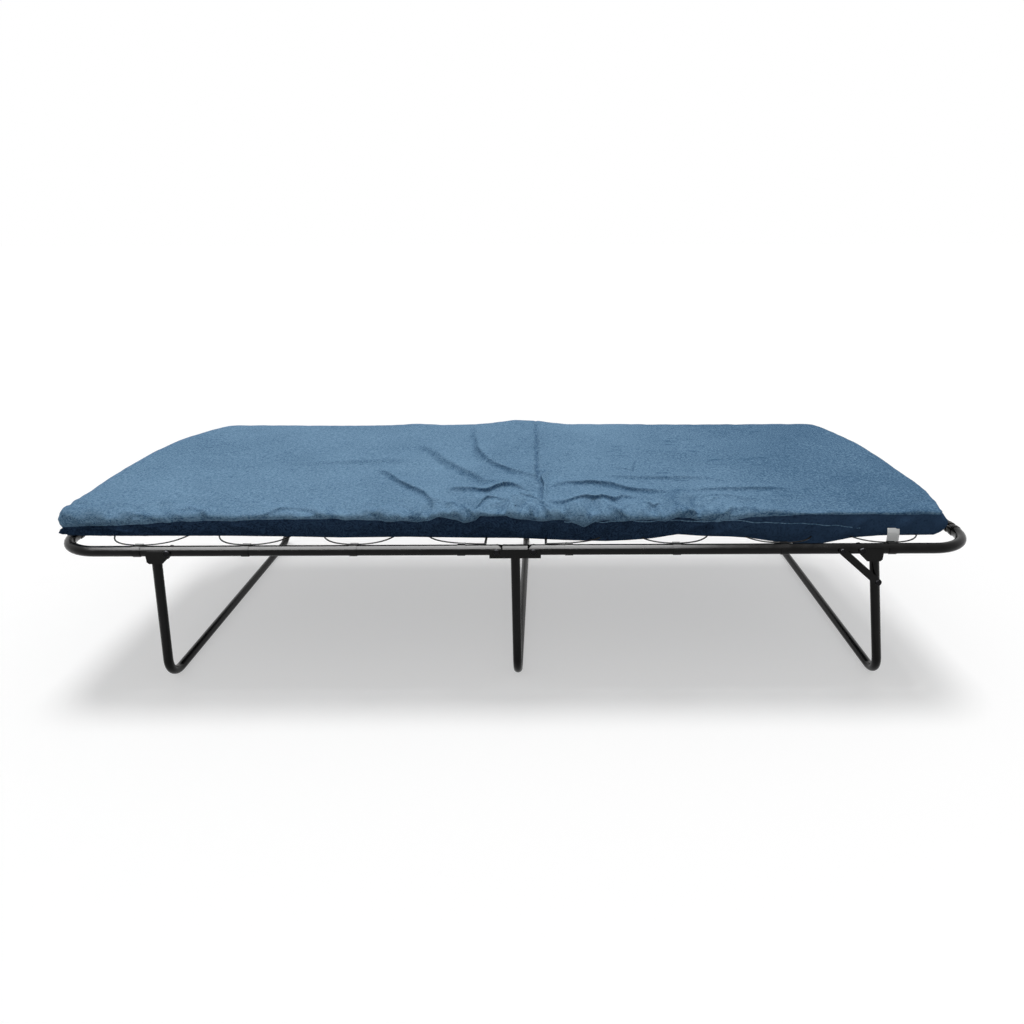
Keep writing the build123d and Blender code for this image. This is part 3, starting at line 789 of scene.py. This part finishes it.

# %% [markdown]
# The larger folds are listed one by one: each is a line of points in millimetres along
# and across the mattress, with the height and the two widths of its ridge. The side on
# the right of the line, which mostly faces the near edge, is the steep one, and the
# light leaves it dark.

# %% Folds of the cover
FOLD_GAIN = 2.0
FOLD_LEAN = 0.55
# name, points (mm), ridge height, steep width, gentle width (mm)
FOLDS = [
    ("fold seam", [(33, 345), (33, 296), (38, 138), (37, 15), (44, -107), (50, -180),
                   (51, -285)], -3.6, 4, 5),
    ("ridge beside the seam", [(60, -85), (59, -180), (61, -278)], 5.0, 4.5, 5),
    ("long fold from the left", [(-260, 110), (-237, 70), (-195, 11), (-150, -59), (-108, -118), (-74, -155),
                                 (-30, -165)], 4.8, 12, 32),
    ("second fold from the left", [(-112, 108), (-83, -10), (-33, -67), (-4, -107), (36, -135)], 4.4, 10, 28),
    ("left of the second fold", [(-136, 300), (-112, 108), (-83, -40)], 3.2, 11, 24),
    ("dark fold before the middle", [(-150, -222), (-106, -224), (-77, -221), (-56, -200), (-35, -191),
                                     (-12, -199), (26, -228)], 5.5, 6, 22),
    ("fold below it", [(-112, -322), (-93, -318), (-77, -306), (-61, -284), (-43, -288),
                       (-20, -300)], 3.8, 5, 15),
    ("left curve", [(-330, -85), (-302, -116), (-262, -165), (-217, -212), (-187, -267), (-172, -308),
                    (-168, -352)], 5.0, 8, 28),
    ("hollow before the seam", [(-12, -266), (12, -266), (30, -262), (62, -284), (84, -304)], 3.2, 5, 10),
    ("long faint fold", [(-520, -20), (-420, -10), (-330, 0), (-260, -30)], 2.0, 14, 40),
    ("right of the seam", [(73, -181), (107, -169), (134, -173), (171, -180), (230, -196), (290, -220),
                           (330, -226)], 5.0, 8, 28),
    ("right long fold", [(70, -268), (112, -284), (161, -281), (204, -275), (225, -252),
                         (258, -262)], 4.5, 6, 20),
    ("right ledge", [(262, -287), (287, -301), (322, -298)], 2.6, 3.5, 14),
    ("upright fold at the right", [(396, -250), (378, -262), (373, -290), (371, -345)], -3.0, 6, 10),
    ("ridge beside it", [(371, -215), (352, -262), (350, -300), (360, -350)], 3.5, 16, 9),
    ("its top", [(390, -212), (421, -212), (507, -206), (597, -212)], 3.2, 7, 26),
    ("ledge beside it", [(385, -258), (440, -252), (520, -262)], 2.0, 7, 20),
    ("hook at the right", [(410, -300), (420, -282), (436, -270)], 2.2, 5, 12),
    ("long fold across the right", [(196, -128), (280, -124), (380, -135), (470, -140)], 2.4, 9, 30),
    ("corner of a crease", [(223, -65), (266, -79), (279, -12)], 1.4, 3.5, 9),
    ("fan one", [(12, -262), (-4, -298), (-9, -335), (-20, -362)], 5.0, 5, 12),
    ("fan two", [(44, -276), (24, -315), (8, -362)], 4.0, 5, 11),
    ("fan three", [(36, -296), (55, -312), (70, -336), (84, -364)], 4.2, 5, 11),
    ("fan four", [(28, -324), (39, -346), (50, -364)], 3.2, 4, 9),
    ("near curl at the left", [(-97, -364), (-103, -344), (-117, -322), (-142, -322)], 4.2, 4.5, 13),
    ("roll at the left", [(-175, -362), (-157, -350), (-118, -339), (-93, -362)], 3.6, 5, 12),
    ("roll before the middle", [(-146, -300), (-136, -313), (-91, -337), (-67, -366)], 3.6, 5, 12),
    ("near curl at the middle", [(146, -364), (147, -345), (132, -326), (96, -330), (70, -346),
                                 (60, -364)], 4.0, 5, 12),
    ("near curl at the right", [(196, -318), (213, -335), (241, -360), (276, -362), (332, -352)], 4.0, 5, 14),
    ("roll at the right", [(318, -364), (338, -346), (362, -340), (392, -330)], 4.0, 5, 14),
    ("last roll at the right", [(372, -354), (403, -343), (448, -332), (494, -338), (572, -345)], 3.2, 6, 18),
    ("corner roll at the left", [(-925, -338), (-880, -352), (-817, -362)], 2.6, 6, 16),
    ("edge pucker one", [(-700, -322), (-667, -320), (-617, -352), (-587, -364)], 3.0, 5, 16),
    ("edge pucker two", [(-539, -364), (-514, -342), (-478, -325), (-440, -322)], 3.0, 5, 16),
    ("edge pucker three", [(-440, -318), (-420, -326), (-390, -352), (-353, -363)], 3.0, 5, 14),
    ("edge pucker four", [(-310, -335), (-282, -339), (-248, -360)], 2.8, 5, 14),
    ("edge pucker five", [(-800, -335), (-770, -340), (-730, -360)], 2.2, 5, 14),
    ("edge pucker six", [(640, -340), (664, -352), (682, -366)], 2.4, 5, 12),
]


def fold_shape(x, y, points, height, steep, gentle):
    """Height of one fold at each place, its lean along and across, and the painted shade in the crease at its
    foot.
    """
    points = np.array(points) / 1000
    nearest = np.full(len(x), 1e9)
    beyond, run = np.zeros(len(x)), np.zeros(len(x))
    toward = np.zeros((len(x), 2))
    lengths = np.hypot(*np.diff(points, axis=0).T)
    starts = np.concatenate([[0], np.cumsum(lengths)])
    for start, onward, length, so_far in zip(points[:-1], points[1:], lengths, starts):
        along = (onward - start) / length
        right = (along[1], -along[0])
        ahead = np.clip((x - start[0]) * along[0] + (y - start[1]) * along[1], 0, length)
        gap_x, gap_y = x - start[0] - ahead * along[0], y - start[1] - ahead * along[1]
        gap = np.hypot(gap_x, gap_y)
        closer = gap < nearest
        nearest = np.where(closer, gap, nearest)
        beyond = np.where(closer, gap_x * right[0] + gap_y * right[1], beyond)
        run = np.where(closer, so_far + ahead, run)
        toward[closer] = right
    width = np.where(beyond > 0, steep, gentle) / 1000
    taper = np.sin(math.pi * np.clip(run / starts[-1], 0, 1)) ** 0.5 * 0.85 + 0.15
    profile = np.exp(-(nearest / width) ** 1.6) * taper
    ridge = FOLD_GAIN * height / 1000 * profile
    lean = FOLD_LEAN * np.maximum(ridge, 0) * profile
    foot = steep / 1000 if height > 0 else 0
    # The painted shade of the crease, on the steep side at the fold's foot
    crease_shade = np.exp(-((nearest - foot) / (0.9 * steep / 1000)) ** 2) * taper * min(abs(height) / 4.5, 1)
    crease_shade = np.where((beyond > 0) | (height < 0), crease_shade, 0)
    return ridge, lean * toward[:, 0], lean * toward[:, 1], crease_shade


# Folds are placed on the cover's own surface, which turns down over the shoulder
rim_push = flat_push + wall * wall_fade
top_rows = on_top & (inward > 0.001)
tx = (x + out_x * rim_push)[top_rows]
ty = (y + out_y * rim_push)[top_rows]
wobble_x = tx + 0.003 * ripple(tx, ty, 0.06, 51)
wobble_y = ty + 0.004 * ripple(tx, ty, 0.07, 52)
raised = np.zeros(len(tx))
leaning = np.zeros((2, len(tx)))
painted_crease_shade = np.zeros(len(tx))
for _, points, height, steep, gentle in FOLDS:
    ridge, lean_x, lean_y, crease_shade = fold_shape(wobble_x, wobble_y, points, height, steep, gentle)
    raised += ridge
    leaning += (lean_x, lean_y)
    painted_crease_shade = np.maximum(painted_crease_shade, crease_shade)
# The right half is creased finely, as if it had been packed flat
fine = ripple(tx, ty, 0.035, 61) * step_up(ripple(tx, ty, 0.22, 62), 0.1, 0.9)
raised += 0.0006 * fine * step_up(tx, 0.10, 0.25) * (1 - step_up(tx, 0.55, 0.75))
# Short gathers where the fold's seam is sewn
gather = np.exp(-((tx - 0.043) / 0.012) ** 2) * np.sin(ty / 0.0052 + 2 * ripple(tx, ty, 0.05, 63))
raised += 0.0018 * gather * step_up(ty, -0.26, -0.1)
# The painted crease shade varies in depth, and fine ticks of painted shade mark where the right half was
# pressed
painted_crease_shade = np.clip(painted_crease_shade * (0.85 + 0.3 * ripple(tx, ty, 0.03, 64)), 0, 1)
pressed_tick_shade = step_up(ripple(tx * 0.3, ty, 0.024, 65), 0.45, 1.0) * step_up(ripple(tx, ty, 0.16, 66), -0.3, 0.7)
painted_crease_shade += 0.6 * pressed_tick_shade * step_up(tx, 0.16, 0.26) * (1 - step_up(tx, 0.60, 0.75)) * step_up(ty, -0.3, -0.2)
# Painted shade darkens the hollows of the puckers along the lip
lip_crease_shade = step_up(-pucker, 0.45, 1.0) * fade * np.minimum(slack, 1) * near_edge
painted_crease_shade = np.maximum(painted_crease_shade, 0.8 * lip_crease_shade[top_rows])
fade_in = step_up(inward[top_rows], 0.001, 0.012)
raised = np.clip(raised * fade_in, -0.006, 0.011)
leaning = np.clip(leaning * fade_in, -0.006, 0.006)
out[top_rows] += raised * np.cos(tilt[top_rows])
rise[top_rows] += raised * np.sin(tilt[top_rows])

x = x + out_x * out
y = y + out_y * out
z = MATTRESS_BASE + rise
x[top_rows] += leaning[0] * np.sin(tilt[top_rows])
y[top_rows] += leaning[1] * np.sin(tilt[top_rows])
z[top_rows] += np.abs(leaning[1]) * -0.5 * np.cos(tilt[top_rows])

finished = np.column_stack([x, y, z])
mattress_mesh.vertices.foreach_set("co", finished.ravel())
mattress_mesh.update()
# The crease attribute carries painted shade, which darkens the cloth's colour in creases
crease_shade_of = np.zeros(len(finished))
crease_shade_of[top_rows] = painted_crease_shade
mattress_mesh.attributes.new("crease_shade", "FLOAT", "POINT").data.foreach_set("value", crease_shade_of)
print("mattress from", finished.min(0).round(4), "to", finished.max(0).round(4))

# %% [markdown]
# ## Cover fabric
# The top is a matt blue polyester and cotton weave with a slight slub: threads
# vary in thickness, so the cloth looks mottled from a distance. Real threads are
# 0.4 mm apart, too fine to show, so the weave is drawn with 1.6 mm between them. The
# border is the same cloth dyed navy, and its colours are painted darker still, as
# painted shade on its side. The colour is painted darker in the bottom of a crease,
# as painted shade, and the top is painted darker towards its right end, as painted
# shade where the light falls off.

# %% Cover fabric
# How far the colour is darkened in a crease, as painted shade
CREASE_SHADE_STRENGTH = 0.17
# Bands lie 2 pi / (20 * scale) apart, and this scale makes that 1.6 mm
WEAVE_SCALE = 500 / 2.6


def woven(name, light, dark, tone_along_bed):
    """A matt plain weave between two shades of one dye, with its tone shifted along the bed."""
    cloth = new_material(name)
    place = add_node(cloth, "ShaderNodeTexCoord")
    warp, weft = [add_node(cloth, "ShaderNodeTexWave", {"wave_type": "BANDS", "bands_direction": direction},
                           {"Vector": place.outputs["Object"], "Scale": WEAVE_SCALE, "Distortion": 1.5,
                            "Detail": 2.0}) for direction in ("X", "Y")]
    weave = add_node(cloth, "ShaderNodeMath", {"operation": "MULTIPLY"},
                     {0: warp.outputs["Fac"], 1: weft.outputs["Fac"]})
    slub = add_node(cloth, "ShaderNodeTexNoise", None,
                    {"Vector": place.outputs["Object"], "Scale": 210.0, "Detail": 5.0, "Roughness": 0.7})
    drift = add_node(cloth, "ShaderNodeTexNoise", None,
                     {"Vector": place.outputs["Object"], "Scale": 4.0, "Detail": 3.0})
    tone = add_node(cloth, "ShaderNodeMath", {"operation": "MULTIPLY_ADD"},
                    {0: weave.outputs[0], 1: 0.36, 2: slub.outputs["Fac"]})
    blend_tone = add_node(cloth, "ShaderNodeMath", {"operation": "MULTIPLY_ADD"},
                          {0: drift.outputs["Fac"], 1: 0.25, 2: tone.outputs[0]})
    # Shifts the tone along the bed; on the top this is painted shade
    along = add_node(cloth, "ShaderNodeSeparateXYZ", None, {"Vector": place.outputs["Object"]})
    tone_shift = add_node(cloth, "ShaderNodeMapRange", {"interpolation_type": "SMOOTHSTEP"},
                      {"Value": along.outputs["X"], "From Min": 0.15, "From Max": 0.95,
                       "To Min": 0.0, "To Max": tone_along_bed})
    shifted_tone = add_node(cloth, "ShaderNodeMath", {"operation": "SUBTRACT"},
                     {0: blend_tone.outputs[0], 1: tone_shift.outputs["Result"]})
    # Painted shade: the colour is darkened along creases by the crease attribute
    crease_shade = add_node(cloth, "ShaderNodeAttribute", {"attribute_name": "crease_shade"})
    dyed = add_node(cloth, "ShaderNodeMath", {"operation": "MULTIPLY_ADD"},
                    {0: crease_shade.outputs["Fac"], 1: -CREASE_SHADE_STRENGTH, 2: shifted_tone.outputs[0]})
    dye = add_node(cloth, "ShaderNodeValToRGB", None, {"Fac": dyed.outputs[0]})
    two_tones(dye, dark, light, 0.46, 0.92)
    relief = add_node(cloth, "ShaderNodeBump", None,
                      {"Strength": 0.35, "Distance": 0.0008, "Height": tone.outputs[0]})
    threads = add_node(cloth, "ShaderNodeBsdfPrincipled", None,
                       {"Base Color": dye.outputs["Color"], "Roughness": 0.95,
                        "Specular IOR Level": 0.0, "Normal": relief.outputs["Normal"]})
    finish_surface(cloth, threads.outputs[0])
    return cloth


# The top is painted darker towards its right end, as painted shade where the light falls off, and the border
# is made lighter towards its right end
top_cloth = woven("blue_woven_cover", "#87aac6", "#3c5c7a", 0.15)
# The border is navy cloth, and its colours are painted darker still, as painted shade on its side faces
navy_and_shaded_border = woven("navy_border_and_painted_shade", "#364d69", "#121d30", -0.28)
print("cloths:", top_cloth.name, navy_and_shaded_border.name)

# %% [markdown]
# ## Two halves
# The mattress bends over the fold, so it is cut in two at the middle, and each half
# rides on its half-frame. The shading on both sides of the cut is taken from the
# whole mattress, and so the cut doesn't show.

# %% Cut the mattress at the fold
shade_round(mattress_mesh)
whole_normals = read_rows(mattress_mesh, "normal")


def mattress_half(name, side):
    """One half of the mattress, closed at the fold by a flat wall."""
    half = bmesh.new()
    half.from_mesh(mattress_mesh)
    number = half.verts.layers.int.new("number")
    for vert in half.verts:
        vert[number] = vert.index
    other = [face for face in half.faces if face.calc_center_median().x * side < 0]
    bmesh.ops.delete(half, geom=other, context="FACES")
    rim = [edge for edge in half.edges if edge.is_boundary]
    wall = bmesh.ops.edgeloop_fill(half, edges=rim, mat_nr=1)["faces"][0]
    bmesh.ops.recalc_face_normals(half, faces=half.faces[:])
    half.verts.index_update()
    half.faces.index_update()
    kept = np.array([vert[number] for vert in half.verts])
    wall_index = wall.index
    half.verts.layers.int.remove(number)
    mesh = bpy.data.meshes.new(name)
    half.to_mesh(mesh)
    half.free()
    for cloth in (top_cloth, navy_and_shaded_border):
        mesh.materials.append(cloth)
    shade_round(mesh)
    loop_verts = np.empty(len(mesh.loops), dtype=np.int32)
    mesh.loops.foreach_get("vertex_index", loop_verts)
    normals = whole_normals[kept[loop_verts]]
    normals[list(mesh.polygons[wall_index].loop_indices)] = (-side, 0, 0)
    mesh.normals_split_custom_set(normals)
    return add_object(name, mesh)


# Folded up, each half has about 24 mm of room for a cover up to 80 mm thick
for side_name, side in SIDES:
    piece = mattress_half(f"{side_name}_mattress", side)
    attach(piece, f"{side_name}_half")
    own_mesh(piece)
    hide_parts(f"{side_name}_mattress_cover", f"{side_name}_mattress_foam")
    print(piece.name, len(piece.data.polygons), "faces")

# %% [markdown]
# ## Zip piping
# The cover opens along its near side. The zip's flap is edged with a thin cord sewn
# into the seam, which shows as a fine light line over a dark one. It follows the
# border's surface, which is read from the finished slab at each height.

# %% Zip piping
PIPING = [(0.10, 0.0345), (0.15, 0.034), (0.21, 0.0335), (0.28, 0.0345), (0.33, 0.0345), (0.40, 0.033),
          (0.455, 0.0345), (0.49, 0.031), (0.54, 0.029), (0.61, 0.027), (0.67, 0.022), (0.71, 0.018)]
PIPING_POINTS = 70
PIPING_RADIUS = 0.0011
PIPING_WAVE = 0.0012
PIPING_OUT = 0.0006
near_skin = (grid_y < -0.999) & ~on_top & (level >= 0)
skin_order = np.lexsort((level[near_skin].round(3), column[near_skin].round()))
skin = finished[near_skin][skin_order].reshape(GRID_ALONG + 1, -1, 3)


def on_border(x_place, rise_place):
    """The border's surface at a place along the bed and a height above its base."""
    nearest = skin[np.argmin(np.abs(skin[:, 0, 0] - x_place))]
    return np.interp(MATTRESS_BASE + rise_place, nearest[:, 2], nearest[:, 1])


def round_line(name, radius, steps):
    """A curve that draws its lines as round wire."""
    curve = bpy.data.curves.new(name, "CURVE")
    curve.dimensions = "3D"
    curve.bevel_depth = radius
    curve.bevel_resolution = 2
    curve.resolution_u = steps
    return curve


def add_spline(curve, points):
    """Adds a smooth line of order three, which the points pull to themselves."""
    line = curve.splines.new("NURBS")
    line.points.add(len(points) - 1)
    for point, place in zip(line.points, points):
        point.co = (*place, 1)
    line.order_u = 3
    line.use_endpoint_u = True


piping_points = []
for place_x in np.linspace(PIPING[0][0], PIPING[-1][0], PIPING_POINTS):
    lift = np.interp(place_x, *zip(*PIPING)) + PIPING_WAVE * math.sin(place_x * 130) * math.sin(place_x * 47)
    piping_points.append((place_x, on_border(place_x, lift) - PIPING_OUT, MATTRESS_BASE + lift))
piping_data = round_line("zip_piping", PIPING_RADIUS, 4)
add_spline(piping_data, piping_points)
piping_data.materials.append(top_cloth)
piping_line = bpy.data.objects.new("piping_line", piping_data)
piping_mesh = bpy.data.meshes.new_from_object(piping_line)
bpy.data.objects.remove(piping_line)
piping = add_object("zip_piping", piping_mesh)
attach(piping, "right_half")
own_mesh(piping)
print("piping:", len(piping_mesh.polygons), "faces")

# %% [markdown]
# ## Care label
# A strip of white satin tape is sewn to the border and hangs down behind the rail. It
# is left bare. Satin is woven with long floats on its face, so it has a
# slight sheen and faint lines along its length.

# %% Care label
LABEL_WIDTH = 0.025
LABEL_LENGTH = 0.040
LABEL_LEFT = 0.7640
LABEL_TOP = 0.3435
LABEL_OUT = 0.0012
TAPE_ROWS = 20
TAPE_CURL = 0.0012
TAPE_THICKNESS = 0.0005
# The tape slants away from its seam for a quarter of its length, and then hangs
SEAM_SLANT = math.radians(22)
HANG_SLANT = math.radians(3)

satin = new_material("white_satin_tape")
satin_place = add_node(satin, "ShaderNodeTexCoord")
floats = add_node(satin, "ShaderNodeTexWave", {"wave_type": "BANDS", "bands_direction": "X"},
                  {"Vector": satin_place.outputs["Object"], "Scale": 420.0, "Distortion": 1.0})
satin_tone = add_node(satin, "ShaderNodeValToRGB", None, {"Fac": floats.outputs["Fac"]})
two_tones(satin_tone, "#eef1f0", "#fafbfb")
satin_shader = add_node(satin, "ShaderNodeBsdfPrincipled", None,
                        {"Base Color": satin_tone.outputs["Color"], "Roughness": 0.5,
                         "Sheen Weight": 0.2, "Specular IOR Level": 0.3})
finish_surface(satin, satin_shader.outputs[0])

tape = bmesh.new()
bmesh.ops.create_grid(tape, x_segments=10, y_segments=TAPE_ROWS, size=0.5)
tape_y = on_border(LABEL_LEFT + LABEL_WIDTH / 2, LABEL_TOP - MATTRESS_BASE) - LABEL_OUT
tape_line = [(tape_y, LABEL_TOP)]
reach = LABEL_LENGTH / TAPE_ROWS
for step in range(TAPE_ROWS):
    slant = SEAM_SLANT if step < TAPE_ROWS / 4 else HANG_SLANT
    tape_y, tape_z = tape_line[-1]
    tape_line.append((tape_y - reach * math.sin(slant), tape_z - reach * math.cos(slant)))
for vert in tape.verts:
    across, down = vert.co.x + 0.5, 0.5 - vert.co.y
    place_y, place_z = tape_line[round(down * TAPE_ROWS)]
    curl = TAPE_CURL * math.sin(math.pi * across) * down
    vert.co = (LABEL_LEFT + LABEL_WIDTH * across, place_y + curl, place_z)
tape_mesh = bpy.data.meshes.new("satin_label")
bmesh.ops.recalc_face_normals(tape, faces=tape.faces[:])
tape.to_mesh(tape_mesh)
tape.free()
shade_round(tape_mesh)
tape_mesh.materials.append(satin)
label = add_object("satin_label", tape_mesh)
thick = label.modifiers.new("thickness", "SOLIDIFY")
thick.thickness = TAPE_THICKNESS
thick.offset = 0.0
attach(label, "right_half")
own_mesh(label)
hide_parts("care_label")
print("label:", len(tape_mesh.polygons), "faces")

# %% [markdown]
# ## Net wires
# Each wave wire is a hard wire bent to and fro, whose bends are round, not sharp. A
# NURBS curve of order three through the CAD route's corners gives just that, and it
# still lies under each clip and in each band, which sit on the middle of a straight.

# %% Net wires
OUTER_FLAT = 0.113
INNER_FLAT = 0.030
FIRST_WIRE_END = 0.0595
HOOK_PLACE = 0.9304
END_TURN = 0.015
slope = (WAVE_PITCH - OUTER_FLAT - INNER_FLAT) / 2


def wave_route(row):
    """Corners of one wave wire of the right half, seen from above."""
    low = -NET_EDGE + row * ROW_PITCH
    high = low + ROW_PITCH - ROW_GAP
    outside, inside = (low, high) if row % 2 == 0 else (high, low)
    route = [(FIRST_WIRE_END, outside)]
    for wave in range(WAVES):
        flat_end = wave * WAVE_PITCH + (WAVE_PITCH + OUTER_FLAT) / 2
        route += [(flat_end, outside), (flat_end + slope, inside)]
        if wave < WAVES - 1:
            route += [(flat_end + slope + INNER_FLAT, inside), (flat_end + 2 * slope + INNER_FLAT, outside)]
    turn = END_TURN if outside > inside else -END_TURN
    return route + [(HOOK_PLACE, inside), (HOOK_PLACE, inside + turn)]


for side_name, side in SIDES:
    wires = round_line(f"{side_name}_wave_wires", WIRE_RADIUS, 8)
    for row_number in range(ROWS_OF_WIRE):
        route = wave_route(row_number)
        add_spline(wires, [(side * route_x, route_y, NET_HEIGHT) for route_x, route_y in route])
    wires.use_fill_caps = True
    net = add_object(f"{side_name}_wave_wires", wires)
    wires.materials.append(wire_lacquer)
    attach(net, f"{side_name}_half")
    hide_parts(f"{side_name}_net_wires")
print("wave wires:", 2 * ROWS_OF_WIRE)
